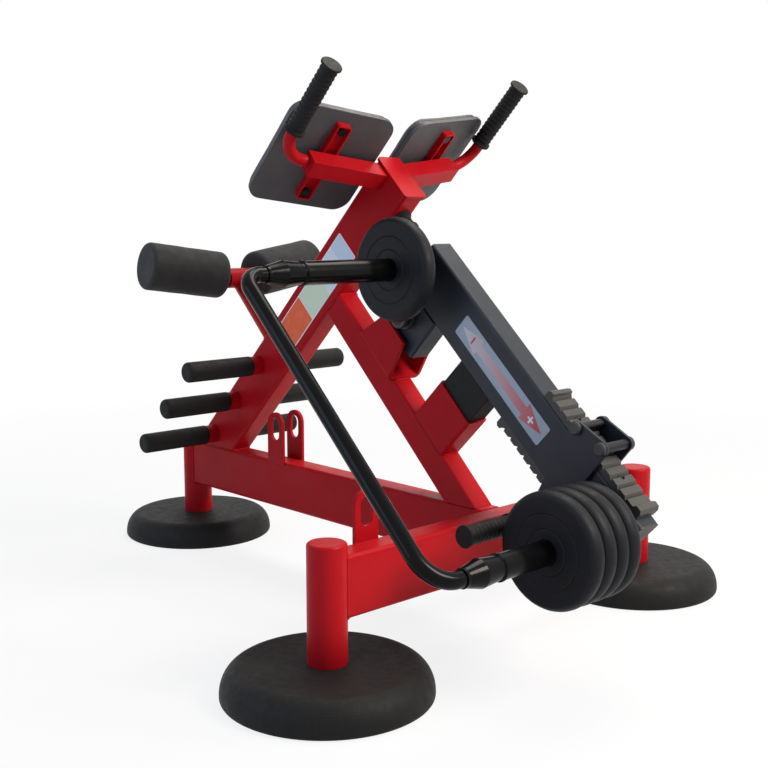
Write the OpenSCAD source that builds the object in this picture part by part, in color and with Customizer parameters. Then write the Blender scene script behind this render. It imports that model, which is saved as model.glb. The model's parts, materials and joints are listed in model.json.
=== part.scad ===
// Outdoor hyperextension machine with a swinging weight lever.
// Millimetres. +X runs from the back foot to the front, +Y is the user's left, +Z is up.
// The origin is on the floor under the middle of the machine.

/* [Base] */
// Distance between the two front posts
front_span = 960; // [800:10:1200]
// Distance from the back post to the line of the front posts
base_len = 1125; // [1000:5:1300]
// Diameter of the posts
post_d = 76; // [60:1:90]
// Height of a post above its foot
post_h = 228; // [200:1:260]
// Height of the floor beams
beam_h = 120; // [90:5:130]
// Width of every box tube
tube_w = 60; // [50:1:70]
// Wall of every box tube
tube_wall = 4; // [3:0.5:5]
// Outside corner radius of every box tube
tube_r = 8; // [6:1:10]
// Drop from the top of a post to the top of the beams
beam_drop = 25; // [10:1:30]
// Diameter of a rubber foot
foot_d = 400; // [300:10:440]
// Height of a rubber foot
foot_h = 62; // [50:1:90]
// Height of a foot's widest ring
foot_rim_h = 10; // [8:1:25]

/* [Column and strut] */
// Tilt of the column from the floor
column_angle = 45; // [40:1:48]
// Depth of the column tube
column_h = 120; // [100:5:140]
// Length of the column along its centre line
column_len = 983; // [960:1:1040]
// Distance from the back post to the foot of the column
column_back = 125; // [100:1:160]
// Distance from the foot of the column to the band eyelets ahead of it
eye_ahead = 276; // [250:1:300]
// Distance from the right front post to the band eyelet beside it
eye_inset = 125; // [76:1:200]
// Height on the column where the strut meets it
strut_at = 640; // [600:1:660]
// Depth of the strut tube
strut_h = 66; // [50:1:70]
// Thickness of the cap plate on the column
cap_t = 6; // [4:1:8]
// Overhang of the cap plate
cap_over = 3; // [1:1:5]

/* [Lever] */
// Slope of the lever at rest
lever_angle = 43.5; // [42:0.5:45]
// Length of the lever tube
lever_len = 743; // [720:1:800]
// Depth of the lever tube
lever_h = 120; // [100:5:130]
// Drop from the underside of the lever to its pivot
pivot_drop = 47; // [38:1:60]
// Reach of the stub below the pivot
stub_below = 61; // [50:1:70]
// Height of the pivot above the strut
pivot_up = 135.5; // [130:0.5:170]
// Distance of the pivot from the front of the column
pivot_out = 192; // [180:1:200]
// Distance of the pivot from the upper end of the lever
pivot_in = 54; // [50:1:60]
// Diameter of the pivot shaft
shaft_d = 30; // [25:1:32]
// Running clearance of the pivot on its diameter
shaft_clear = 0.1; // [0.06:0.02:0.16]
// Outside width of the pivot bracket
bracket_w = 100; // [96:1:110]
// Thickness of the bracket plates
bracket_t = 8; // [6:1:10]

/* [Lever stops] */
// Length of the lower stop bracket along the strut
stop_len = 118; // [100:1:130]
// Height of the lower stop bracket above the strut
stop_h = 113; // [100:1:125]
// Distance of the lower stop bracket's middle from the column
stop_out = 413; // [380:1:430]
// Gap between a rubber stop and the lever
stop_gap = 0.3; // [0.2:0.1:0.5]
// Diameter of the upper bumper
bumper_d = 34; // [30:1:50]
// Length of the upper bumper
bumper_len = 46; // [35:1:52]
// Distance from the column's top end to its upper bumper
bumper_drop = 57; // [42:1:77]

/* [Weights] */
// Diameter of a weight plate
plate_d = 220; // [180:5:230]
// Thickness of a weight plate
plate_t = 36; // [25:1:38]
// Number of plates loaded on the lower arm
plates_low = 4; // [4:1:4]
// Diameter of the weight sleeves
sleeve_d = 48; // [42:1:50]
// Radial clearance of a plate on its sleeve
plate_clear = 0.3; // [0.2:0.1:0.6]
// Diameter of the thin guide bar
bar_d = 31; // [28:1:36]
// Distance of the guide bar from the lever's middle
bar_reach = 509; // [480:1:560]
// Radius of the guide bar's lower bend
bar_bend = 60; // [45:5:75]
// Radius of the guide bar's upper bend
bar_bend_up = 36; // [30:2:60]
// Distance of the upper arm from the pivot, along the lever
arm_up = -40; // [-45:1:-30]
// Distance of the lower arm from the pivot, along the lever
arm_low = 656; // [630:1:660]
// Height of the upper arm above the pivot
arm_z = 111; // [95:1:115]
// Height of the lower arm above the pivot
arm_low_z = 102; // [95:1:112]
// Distance of the first plate's inner face from the lever's middle
stack_y = 75; // [60:1:80]
// Distance of the parked plate's inner face from the lever's middle
parked_y = 98; // [80:1:120]
// Length of a weight collar
collar_len = 93; // [70:1:100]
// How much further out the upper collar sits
collar_up_out = 18; // [0:1:25]

/* [Racks and carriage] */
// Pitch of the notches
notch_pitch = 24; // [20:1:28]
// Number of notches
notch_n = 11; // [9:1:12]
// Distance of the first notch from the pivot, along the lever
notch_first = 392; // [385:1:400]
// Thickness of the upper rack
rack_t = 15; // [14:1:20]
// Thickness of the lower rack
rack_low_t = 20; // [10:1:22]
// Depth of a notch
notch_deep = 6; // [3:0.5:8]
// Diameter of the carriage rods
rod_d = 20; // [16:1:22]
// Distance of the carriage's first rod from the pivot, along the lever
carriage_at = 469; // [460:1:475]
// Distance between the two upper rods, along the lever
rod_pitch = 65; // [55:1:72]
// Rise of the second upper rod over the first
rod_rise = 17; // [5:1:20]
// Thickness of the carriage side plates
side_t = 6; // [4:1:8]
// Gap between the lever and a side plate
side_gap = 6; // [3:0.5:8]
// Running gap of the carriage rods over the racks
rod_gap = 0.3; // [0.2:0.1:0.6]
// Gap between the lower rack and the carriage's handle rod
pin_gap = 1; // [1:1:8]
// Distance of the near grip's inner end from the lever's middle
grip_near = 155; // [100:5:170]
// Distance of the far grip's inner end from the lever's middle
grip_far = 46; // [45:1:170]
// Length of a carriage grip
carriage_grip_len = 130; // [110:5:150]
// Diameter of a carriage grip
carriage_grip_d = 38; // [34:1:40]

/* [Pegs and rollers] */
// Height of the lowest peg on the column
peg_at = 28; // [26:1:40]
// Distance between pegs
peg_pitch = 144; // [120:1:150]
// Number of peg bars
peg_n = 3; // [2:1:3]
// Diameter of a peg bar
peg_bar_d = 34; // [28:1:38]
// Diameter of a peg sleeve
peg_d = 50; // [44:1:54]
// Distance of the peg tips from the middle
peg_reach = 252; // [220:1:270]
// How far the pegs reach on the far side
peg_reach_far = 240; // [220:1:270]
// Length of the bare boss between the column and a peg sleeve
peg_boss = 31; // [10:1:40]
// Shift of the pegs from the column's middle to its back
peg_shift = 22; // [0:1:25]
// Height of the roller arm on the column
roller_at = 387; // [375:1:400]
// Distance of the roller hub from the column's middle
roller_out = 258; // [220:1:280]
// Tilt of each roller axle
roller_tilt = 11.4; // [5:0.1:15]
// Diameter of a foam roller
roller_d = 120; // [90:5:130]
// Length of a foam roller
roller_len = 213; // [180:1:260]
// Diameter of the roller arm and hub
arm_d = 51; // [45:1:60]
// Diameter of a roller axle
axle_d = 25; // [20:1:28]
// Running clearance of a roller on its diameter
roller_clear = 0.1; // [0.06:0.02:0.16]

/* [Pads and handles] */
// Distance from the column's top end to the pads' middle
pad_drop = 31; // [31:1:52]
// Width of a pad across the machine
pad_w = 262; // [220:2:280]
// Length of a pad along the column
pad_len = 266; // [220:2:280]
// Distance of a pad's middle from the machine's middle
pad_y = 158; // [150:1:170]
// Gap between the pads' inner edges and the face of the column's cap
pad_clear = 0.5; // [0.5:0.5:20]
// Tilt of each pad
pad_tilt = 10; // [6:0.5:12]
// Thickness of a pad board
board_t = 9; // [4:1:12]
// Thickness of a pad at its edge
pad_t = 16; // [12:1:24]
// Rise of a pad's crown
pad_crown = 6; // [3:1:10]
// Corner radius of a pad
pad_r = 38; // [25:1:55]
// Side of the square cross tube
cross_w = 40; // [35:1:45]
// Rise of the handle tubes over the cross tube's middle
handle_lift = 7; // [0:1:7]
// Diameter of the handle tubes
handle_d = 26; // [24:1:30]
// Distance of the handles from the middle
handle_y = 278; // [270:1:300]
// Bend radius of the handle tubes
handle_bend = 60; // [40:1:62]
// Length of a handle grip
grip_len = 171; // [130:1:190]
// Diameter of a handle grip
grip_d = 39; // [34:1:42]
// Diameter of a grip flange
grip_flange_d = 46; // [42:1:50]
// Thickness of a grip flange
grip_flange_t = 5; // [3:1:7]

/* [Hidden] */
$fn = 64;

red = "#b3141c";
dark = "#34373d";
black = "#1c1d20";
steel = "#9a9a98";

post_r = post_d / 2;
foot_r = foot_d / 2;
half_w = tube_w / 2;
beam_top = foot_h + post_h - beam_drop;
beam_mid = beam_top - beam_h / 2;

// Places on the lever, in its own frame: x down the lever from the pivot, z square to it.
lever_under = pivot_drop;
lever_over = pivot_drop + lever_h;
sleeve_r = sleeve_d / 2;
bar_r = bar_d / 2;
arm_tilt = atan2(arm_z - arm_low_z, arm_low - arm_up);
arm_span = norm([arm_low - arm_up, arm_z - arm_low_z]);
stop_ring_t = 6;
stop_ring_d = 70;
spare_plates = 3;
plate_gap = 0.3;
collar_gap = 20;
collar_y = stack_y + (plates_low + spare_plates) * plate_t + collar_gap;
collar_up_y = collar_y + collar_up_out;
stack_y_2 = stack_y + plate_t + plate_gap;
stack_y_3 = stack_y + 2 * (plate_t + plate_gap);
stack_y_4 = stack_y + 3 * (plate_t + plate_gap);
rod_r = rod_d / 2;
rod_z = lever_over + rack_t + rod_gap + rod_r;
handle_back = 12;
handle_x = carriage_at + rod_pitch + handle_back;
handle_z = lever_under - rack_low_t - pin_gap - rod_r;
side_in = half_w + side_gap;
side_out = side_in + side_t;

// Places on the column, in its own frame: x up the column, z square to it towards the back.
column_face = column_h / 2;
pivot_a = strut_at + strut_h / 2 + pivot_up;
pivot_h = -column_face - pivot_out;
pad_at = column_len - pad_drop;
bumper_at = column_len - bumper_drop;

// The lower arm's plates reach furthest to the front, so they set the middle of the machine.
sin_c = sin(column_angle);
cos_c = cos(column_angle);
pivot_from_foot = pivot_a * cos_c - pivot_h * sin_c;
arm_forward = arm_low * cos(lever_angle) + arm_low_z * sin(lever_angle) + plate_d / 2;
back_to_foot = foot_r + column_back;
front_reach = back_to_foot + pivot_from_foot + arm_forward;
column_x = back_to_foot - front_reach / 2;
back_x = column_x - column_back;
front_x = back_x + base_len;
pivot_x = column_x + pivot_from_foot;
pivot_z = beam_top + pivot_a * sin_c + pivot_h * cos_c;

// Frames of reference
module on_column() {
    translate([column_x, 0, beam_top]) rotate([0, -column_angle, 0]) children();
}
module on_lever() {
    translate([pivot_x, 0, pivot_z]) rotate([0, lever_angle, 0]) children();
}
// Both arms lie on this frame's X axis: the upper one at 0, the lower one at arm_span
module on_arms() {
    on_lever() translate([arm_up, 0, arm_z]) rotate([0, arm_tilt, 0]) children();
}

// Shared shapes
module rounded_rect(w, h, r) {
    square([w - 2 * r, h], center = true);
    square([w, h - 2 * r], center = true);
    for (i = [-1, 1], j = [-1, 1]) {
        translate([i * (w / 2 - r), j * (h / 2 - r)]) circle(r);
    }
}
// A box tube along +X from the origin, wide in Y and deep in Z
module box_tube(len, w, h) {
    rotate([90, 0, 90]) linear_extrude(len) difference() {
        rounded_rect(w, h, tube_r);
        rounded_rect(w - 2 * tube_wall, h - 2 * tube_wall, tube_r - tube_wall);
    }
}
// A solid bar along Y between two places
module rod_y(x, z, y_from, y_to, d) {
    translate([x, y_to, z]) rotate([90, 0, 0]) cylinder(h = y_to - y_from, d = d);
}
// The outline round equal circles at the given points, which run anticlockwise
module belt(points, r) {
    n = len(points);
    steps = 10;
    function heading(i) = let (d = points[(i + 1) % n] - points[i % n]) atan2(-d[0], d[1]);
    polygon([for (i = [0:n - 1], k = [0:steps])
        let (from = heading(i + n - 1), turn = (heading(i) - from + 720) % 360)
        points[i] + r * [cos(from + turn * k / steps), sin(from + turn * k / steps)]]);
}
// Ribbed rubber sleeve along +Z with a flange at each end and a closed tip
module ribbed_grip(len, d, flange, bore) {
    rib_n = round(len / 12);
    rib_deep = 1.6;
    edge = 1.5;
    body = len - 2 * grip_flange_t;
    ribs = [for (i = [0:4 * rib_n]) [d / 2 - rib_deep * (1 - cos(90 * i)) / 2,
        grip_flange_t + body * i / (4 * rib_n)]];
    outline = concat([[bore / 2, 0], [flange / 2, 0], [flange / 2, grip_flange_t]], ribs,
        [[flange / 2, len - grip_flange_t], [flange / 2, len - edge], [flange / 2 - edge, len],
        [0, len], [0, len - grip_flange_t], [bore / 2, len - grip_flange_t]]);
    rotate_extrude() polygon(outline);
}

// Base
module long_beam() {
    color(red) difference() {
        translate([back_x, 0, beam_mid]) box_tube(front_x - half_w - back_x, tube_w, beam_h);
        translate([back_x, 0, 0]) cylinder(h = beam_top + beam_h, d = post_d);
    }
}
module cross_beam() {
    color(red) difference() {
        translate([front_x, -front_span / 2, beam_mid]) rotate([0, 0, 90])
            box_tube(front_span, tube_w, beam_h);
        for (i = [-1, 1]) {
            translate([front_x, i * front_span / 2, 0]) cylinder(h = beam_top + beam_h, d = post_d);
        }
    }
}
module post(x, y) {
    edge = 6;
    crown = [for (i = [0:4]) [post_r - edge + edge * sin(i * 22.5), post_h - edge + edge * cos(i * 22.5)]];
    inner_r = post_r - tube_wall;
    inner_h = post_h - edge - tube_wall;
    color(red) translate([x, y, foot_h]) rotate_extrude()
        polygon(concat([[0, post_h]], crown, [[post_r, 0], [inner_r, 0], [inner_r, inner_h], [0, inner_h]]));
}
module foot(x, y) {
    flat_r = foot_r * 0.8;
    lip = foot_rim_h * 0.75;
    collar = post_r + 4;
    dome = [for (i = [0:12]) [flat_r + (foot_r - flat_r) * cos(i * 7.5),
        foot_rim_h + (foot_h - foot_rim_h) * sin(i * 7.5)]];
    rim = [for (i = [0:4]) [foot_r - lip + lip * sin(i * 22.5), lip - lip * cos(i * 22.5)]];
    color(black) translate([x, y, 0]) rotate_extrude()
        polygon(concat([[0, 0]], rim, dome, [[collar, foot_h], [0, foot_h]]));
}
module band_eyelets() {
    eye_w = 60;
    eye_h = 125;
    eye_t = 8;
    slot_w = 32;
    slot_h = 58;
    slot_up = 54;
    root = 6;
    module eyelet() {
        rotate([90, 0, 0]) linear_extrude(eye_t) difference() {
            union() {
                translate([-eye_w / 2, -root]) square([eye_w, eye_h - eye_w / 2 + root]);
                translate([0, eye_h - eye_w / 2]) circle(eye_w / 2);
            }
            translate([0, slot_up + slot_w / 2]) circle(slot_w / 2);
            translate([0, slot_up + slot_h - slot_w / 2]) circle(slot_w / 2);
            translate([-slot_w / 2, slot_up + slot_w / 2]) square([slot_w, slot_h - slot_w]);
        }
    }
    color(red) difference() {
        union() {
            translate([eye_x, -eye_out + eye_t, beam_top]) eyelet();
            translate([eye_x, eye_out, beam_top]) eyelet();
            translate([eye_back, -eye_y, beam_top - eye_sink]) rotate([0, 0, 90])
                translate([0, eye_t, 0]) eyelet();
        }
        translate([back_x, 0, beam_mid]) rotate([90, 0, 90]) linear_extrude(base_len)
            rounded_rect(tube_w, beam_h, tube_r);
        translate([front_x, -front_span / 2, beam_mid]) rotate([90, 0, 180]) linear_extrude(front_span)
            rounded_rect(tube_w, beam_h, tube_r);
    }
}
eye_x = column_x + eye_ahead;
eye_y = front_span / 2 - eye_inset;
eye_out = half_w + 5;
eye_back = front_x - half_w + 1;
eye_sink = 27;

// Column and strut
module column() {
    color(red) difference() {
        on_column() translate([-column_h, 0, 0]) box_tube(column_len + column_h, tube_w, column_h);
        translate([back_x - foot_r, -foot_r, beam_top - 2 * column_h])
            cube([base_len, foot_d, 2 * column_h]);
        translate([back_x, 0, 0]) cylinder(h = foot_h + post_h + column_h, d = post_d);
        on_column() for (i = [0:peg_n - 1]) {
            rod_y(peg_at + i * peg_pitch, peg_shift, -tube_w, tube_w, peg_bar_d);
        }
    }
}
module column_cap() {
    color(red) on_column() translate([column_len, 0, 0]) rotate([90, 0, 90]) linear_extrude(cap_t)
        rounded_rect(tube_w + 2 * cap_over, column_h + 2 * cap_over, tube_r);
}
module strut() {
    reach = (column_len + base_len) / 2;
    color(red) difference() {
        on_column() translate([strut_at, 0, -column_face]) rotate([0, 90, 0])
            box_tube(reach, tube_w, strut_h);
        translate([back_x, -foot_r, beam_top - base_len]) cube([2 * base_len, foot_d, base_len]);
    }
}

// Pivot bracket: a bent U plate on the strut
module pivot_bracket() {
    base_w = 137;
    bend_r = 14;
    ear_r = 32;
    half_b = bracket_w / 2;
    rise = pivot_up;
    color(red) on_column() translate([strut_at + strut_h / 2, 0, pivot_h]) difference() {
        intersection() {
            rotate([0, 90, 0]) linear_extrude(rise + 2 * ear_r, center = true)
                square([4 * base_w, bracket_w], center = true);
            rotate([90, 0, 0]) linear_extrude(bracket_w, center = true) belt_ear(base_w, rise, ear_r);
            u_profile(half_b, bend_r, rise + ear_r, base_w);
        }
        rod_y(rise, 0, -bracket_w, bracket_w, shaft_d);
    }
}
// The side view of an ear: a wide foot that tapers to a round head
module belt_ear(base_w, rise, head_r) {
    tilt = atan2(base_w / 2 - head_r, rise);
    polygon([[0, -base_w / 2], [rise + head_r * sin(tilt), -head_r * cos(tilt)],
        [rise + head_r * sin(tilt), head_r * cos(tilt)], [0, base_w / 2]]);
    translate([rise, 0]) circle(head_r);
}
// The end view of the bent plate, run through the bracket's whole width
module u_profile(half_b, bend_r, height, base_w) {
    inner = half_b - bracket_t;
    inner_r = bend_r - bracket_t;
    translate([0, 0, -base_w]) linear_extrude(2 * base_w) difference() {
        union() {
            translate([bend_r, -half_b]) square([height, bracket_w]);
            translate([0, -half_b + bend_r]) square([bend_r, bracket_w - 2 * bend_r]);
            for (i = [-1, 1]) {
                translate([bend_r, i * (half_b - bend_r)]) circle(bend_r);
            }
        }
        translate([bend_r, -inner]) square([height + bend_r, 2 * inner]);
        translate([bracket_t, -inner + inner_r]) square([height, 2 * (inner - inner_r)]);
        for (i = [-1, 1]) {
            translate([bend_r, i * (inner - inner_r)]) circle(inner_r);
        }
    }
}
nut_t = 12;
module pivot_shaft() {
    color(steel) on_lever() rod_y(0, 0, -bracket_w / 2 - nut_t, bracket_w / 2 + nut_t, shaft_d);
}
module pivot_nuts() {
    nut_d = 44;
    color(black) on_lever() for (i = [-1, 1]) {
        y = i * (bracket_w + nut_t) / 2;
        difference() {
            rod_y(0, 0, y - nut_t / 2, y + nut_t / 2, nut_d);
            rod_y(0, 0, y - nut_t, y + nut_t, shaft_d);
        }
    }
}

// Stops
stop_wall = 5;
stop_in_r = tube_r - stop_wall;
module stop_bracket() {
    color(red) on_column() translate([strut_at + strut_h / 2, 0, -column_face - stop_out]) difference() {
        linear_extrude_x(stop_h) rounded_rect(stop_len, tube_w, tube_r);
        translate([stop_wall, 0, 0]) linear_extrude_x(stop_h)
            rounded_rect(stop_len - 2 * stop_wall, tube_w - 2 * stop_wall, stop_in_r);
    }
}
module linear_extrude_x(len) {
    rotate([0, 90, 0]) linear_extrude(len) children();
}
module stop_block() {
    color(black) difference() {
        on_column() translate([strut_at + strut_h / 2 + stop_wall, 0, -column_face - stop_out])
            linear_extrude_x(2 * stop_h)
                rounded_rect(stop_len - 2 * stop_wall, tube_w - 2 * stop_wall, stop_in_r);
        on_lever() translate([0, -tube_w, lever_under - stop_gap])
            cube([lever_len, 2 * tube_w, 2 * lever_h]);
    }
}
module column_bumper() {
    r = bumper_d / 2;
    foot = 8;
    foot_w = 4;
    head = 10;
    edge = 3;
    waist = 2;
    color(black) on_column() translate([bumper_at, 0, -column_face]) rotate([180, 0, 0]) rotate_extrude()
        polygon([
        [0, 0], [r + foot_w, 0], [r + foot_w, foot], [r, foot + edge], [r - waist, bumper_len / 2],
        [r, bumper_len - head - edge], [r + edge, bumper_len - head], [r + edge, bumper_len - edge],
        [r, bumper_len], [0, bumper_len]]);
}

// Pegs
peg_tip = 6;
peg_boss_d = 47;
module peg_bars() {
    color(red) on_column() for (i = [0:peg_n - 1]) {
        rod_y(peg_at + i * peg_pitch, peg_shift, peg_tip - peg_reach, peg_reach_far - peg_tip, peg_bar_d);
        rod_y(peg_at + i * peg_pitch, peg_shift, half_w, half_w + peg_boss, peg_boss_d);
        rod_y(peg_at + i * peg_pitch, peg_shift, -half_w - peg_boss, -half_w, peg_boss_d);
    }
}
module peg_sleeves(side) {
    tip = 9;
    lip = 2;
    inner = half_w + peg_boss;
    length = (side > 0 ? peg_reach_far : peg_reach) - inner;
    arc = [for (i = [0:8]) [peg_d / 2 - tip + tip * cos(i * 11.25), length - tip + tip * sin(i * 11.25)]];
    color(black) on_column() for (i = [0:peg_n - 1]) {
        translate([peg_at + i * peg_pitch, side * inner, peg_shift]) rotate([-side * 90, 0, 0])
            rotate_extrude() polygon(concat([[peg_bar_d / 2, 0], [peg_d / 2 - lip, 0], [peg_d / 2, lip]], arc,
                [[0, length], [0, length - peg_tip], [peg_bar_d / 2, length - peg_tip]]));
    }
}

// Rollers
half_hub = 44;
roller_from = 53;
roller_end = 14;
axle_from = 8;
axle_short = 2;
module roller_arm() {
    color(red) difference() {
        on_column() translate([roller_at, 0, column_face]) cylinder(h = roller_out - column_face, d = arm_d);
        roller_hub_solid();
    }
}
module roller_hub_solid() {
    on_column() translate([roller_at, 0, roller_out]) rotate([90, 0, 0])
        cylinder(h = 2 * half_hub, d = arm_d, center = true);
}
module roller_hub() {
    color(red) difference() {
        roller_hub_solid();
        for (i = [-1, 1]) {
            on_axle(i) translate([0, 0, axle_from]) cylinder(h = roller_len, d = axle_d);
        }
    }
}
// Local +Z runs outwards along a roller axle
module on_axle(side) {
    on_column() translate([roller_at, 0, roller_out]) rotate([-side * (90 - roller_tilt), 0, 0]) children();
}
module roller_axles() {
    color(steel) for (i = [-1, 1]) {
        on_axle(i) translate([0, 0, axle_from])
            cylinder(h = roller_from + roller_len - roller_end - axle_short - axle_from, d = axle_d);
    }
}
core_wall = 4;
module roller_core(side) {
    color(black) on_axle(side) translate([0, 0, roller_from]) difference() {
        cylinder(h = roller_len - roller_end, d = axle_d + roller_clear + 2 * core_wall);
        translate([0, 0, -roller_end]) cylinder(h = roller_len + roller_end, d = axle_d + roller_clear);
    }
}
// The foam closes over the outer end of its core
module roller_foam(side) {
    in_edge = 15;
    out_edge = 10;
    r = roller_d / 2;
    core_r = axle_d / 2 + roller_clear / 2 + core_wall;
    low = [for (i = [0:8]) [r - in_edge + in_edge * sin(i * 11.25), in_edge - in_edge * cos(i * 11.25)]];
    high = [for (i = [0:8]) [r - out_edge + out_edge * cos(i * 11.25),
        roller_len - out_edge + out_edge * sin(i * 11.25)]];
    color(black) on_axle(side) translate([0, 0, roller_from]) rotate_extrude()
        polygon(concat([[core_r, 0]], low, high,
        [[0, roller_len], [0, roller_len - roller_end], [core_r, roller_len - roller_end]]));
}

// Pads and handles. In the pad frame +X runs up the column and +Z out of the pad's face.
module on_pad(side) {
    on_column() translate([pad_at, side * pad_y, pad_h]) rotate([side * pad_tilt, 0, 0]) children();
}
pad_h = column_h / 2 + cap_over + pad_clear + pad_w / 2 * sin(pad_tilt);
channel_h = 15;
channel_w = 36;
channel_len = 208;
channel_r = 7;
channel_wall = 4;
channel_in_len = channel_len - 2 * channel_wall;
board_inset = 1;
module pad_channels() {
    color(red) for (i = [-1, 1]) {
        on_pad(i) translate([0, 0, -channel_h]) difference() {
            linear_extrude(channel_h) rounded_rect(channel_len, channel_w, channel_r);
            translate([0, 0, -channel_wall]) linear_extrude(channel_h)
                rounded_rect(channel_in_len, channel_w - 2 * channel_wall, channel_r - channel_wall);
            for (j = [-1, 1]) {
                translate([j * pad_bolt_x, 0, 0]) cylinder(h = 2 * channel_h, d = pad_bolt_d);
            }
        }
    }
}
pad_bolt_x = 87;
pad_bolt_d = 10;
module pad_bolts() {
    head_d = 20;
    head_h = 9;
    color(black) for (i = [-1, 1], j = [-1, 1]) {
        on_pad(i) translate([j * pad_bolt_x, 0, -channel_wall]) {
            translate([0, 0, -head_h]) cylinder(h = head_h, d = head_d);
            cylinder(h = channel_wall, d = pad_bolt_d);
        }
    }
}
module pad_board(side) {
    color(black) on_pad(side) linear_extrude(board_t)
        rounded_rect(pad_len - 2 * board_inset, pad_w - 2 * board_inset, pad_r - board_inset);
}
// Points round a rectangle with round corners
function rounded_loop(w, h, r, steps) = [for (q = [0:3], i = [0:steps])
    let (a = q * 90 + i * 90 / steps, sx = (q == 0 || q == 3) ? 1 : -1, sy = q < 2 ? 1 : -1)
    [sx * (w / 2 - r) + r * cos(a), sy * (h / 2 - r) + r * sin(a)]];
// A pad: sides that swell between the seams, and a crown that rises to the middle
module pad(side) {
    steps = 6;
    loop = rounded_loop(pad_len, pad_w, pad_r, steps);
    n = len(loop);
    skin = 0.3;
    // Each ring: share of the outline it is drawn in by, and its height
    rings = [[2.5, skin], [0.5, 0.15 * pad_t], [0, 0.45 * pad_t], [1, 0.8 * pad_t], [5, pad_t],
        [16, pad_t + 0.45 * pad_crown], [45, pad_t + 0.8 * pad_crown], [85, pad_t + 0.97 * pad_crown]];
    half = min(pad_len, pad_w) / 2;
    ring_points = [for (ring = rings, p = loop)
        [p[0] * (1 - ring[0] / half), p[1] * (1 - ring[0] / half), ring[1]]];
    points = concat(ring_points, [[0, 0, skin], [0, 0, pad_t + pad_crown]]);
    last = len(rings) - 1;
    walls = [for (k = [0:last - 1], i = [0:n - 1]) let (j = (i + 1) % n)
        [[k * n + i, (k + 1) * n + i, (k + 1) * n + j], [k * n + i, (k + 1) * n + j, k * n + j]]];
    low = [for (i = [0:n - 1]) [n * len(rings), i, (i + 1) % n]];
    high = [for (i = [0:n - 1]) [n * len(rings) + 1, last * n + (i + 1) % n, last * n + i]];
    color(black) on_pad(side) translate([0, 0, board_t])
        polyhedron(points, concat([for (w = walls, t = w) t], low, high));
}
cross_len = 215;
cross_shift = 10;
module on_cross(side) {
    on_pad(side) translate([cross_shift, -side * pad_y / cos(pad_tilt), -channel_h - cross_w / 2]) children();
}
module cross_arm(side) {
    on_cross(side) translate([0, side > 0 ? 0 : -cross_len, -cross_w / 2]) translate([-cross_w / 2, 0, 0])
        cube([cross_w, cross_len, cross_w]);
}
module pad_cross_tube() {
    inner = cross_w - 2 * tube_wall;
    color(red) difference() {
        union() {
            cross_arm(-1);
            cross_arm(1);
        }
        on_column() translate([pad_at - 2 * cross_w, -half_w, -2 * column_h])
            cube([4 * cross_w, tube_w, 4 * column_h]);
        for (i = [-1, 1]) {
            from_y = i > 0 ? half_w + tube_wall : -cross_len + tube_wall;
            on_cross(i) translate([-inner / 2, from_y, -inner / 2])
                cube([inner, cross_len - half_w - 2 * tube_wall, inner]);
        }
    }
}
// A handle: out of the cross tube's end, round a bend, then up beside the pad
handle_rise = 70;
module handle_path() {
    to_y = handle_out - handle_bend;
    on_cross(1) translate([0, 0, handle_lift]) {
        rod_y(0, 0, cross_len, to_y, handle_d);
        translate([handle_bend, to_y, 0]) rotate([0, 0, 90]) rotate_extrude(angle = 90)
            translate([handle_bend, 0]) circle(handle_d / 2);
        translate([handle_bend, handle_out, 0]) rotate([0, 90, 0])
            cylinder(h = handle_rise + grip_len - grip_flange_t - handle_bend, d = handle_d);
    }
}
handle_out = handle_y / cos(pad_tilt);
module handle_tubes() {
    color(red) {
        handle_path();
        mirror([0, 1, 0]) handle_path();
    }
}
module handle_grips() {
    color(black) for (i = [-1, 1]) {
        on_cross(i) translate([handle_rise, i * handle_out, handle_lift]) rotate([0, 90, 0])
            ribbed_grip(grip_len, grip_d, grip_flange_d, handle_d);
    }
}

// Lever
housing_d = 50;
module lever_tube() {
    stub_len = pivot_drop + stub_below;
    color(dark) on_lever() difference() {
        union() {
            translate([-pivot_in, 0, lever_under + lever_h / 2]) box_tube(lever_len, tube_w, lever_h);
            translate([-pivot_in + lever_h / 2, 0, -stub_below]) linear_extrude(stub_len)
                rounded_rect(lever_h, tube_w, tube_r);
        }
        translate([-pivot_in + lever_h / 2, 0, -stub_below + tube_wall])
            linear_extrude(stub_len - 2 * tube_wall)
            rounded_rect(lever_h - 2 * tube_wall, tube_w - 2 * tube_wall, tube_r - tube_wall);
        rod_y(0, 0, -tube_w, tube_w, housing_d);
    }
}
end_cap_t = 4;
module lever_end_caps() {
    color(black) on_lever() for (x = [-pivot_in - end_cap_t, lever_len - pivot_in]) {
        translate([x, 0, lever_under + lever_h / 2]) rotate([90, 0, 90])
            linear_extrude(end_cap_t) rounded_rect(tube_w, lever_h, tube_r);
    }
}
bush_w = 4;
bush_flange = 3;
side_play = 0.3;
housing_half = bracket_w / 2 - bracket_t - bush_flange - side_play;
module pivot_housing() {
    color(dark) on_lever() difference() {
        rod_y(0, 0, -housing_half, housing_half, housing_d);
        rod_y(0, 0, -bracket_w, bracket_w, shaft_d + shaft_clear + 2 * bush_w);
    }
}
module pivot_bushes() {
    bush_len = 25;
    color(black) on_lever() for (i = [-1, 1]) {
        end = i * (housing_half + bush_flange);
        difference() {
            union() {
                rod_y(0, 0, min(end, i * (housing_half - bush_len)), max(end, i * (housing_half - bush_len)),
                    shaft_d + shaft_clear + 2 * bush_w);
                rod_y(0, 0, min(end, i * housing_half), max(end, i * housing_half), housing_d);
            }
            rod_y(0, 0, -bracket_w, bracket_w, shaft_d + shaft_clear);
        }
    }
}

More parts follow.
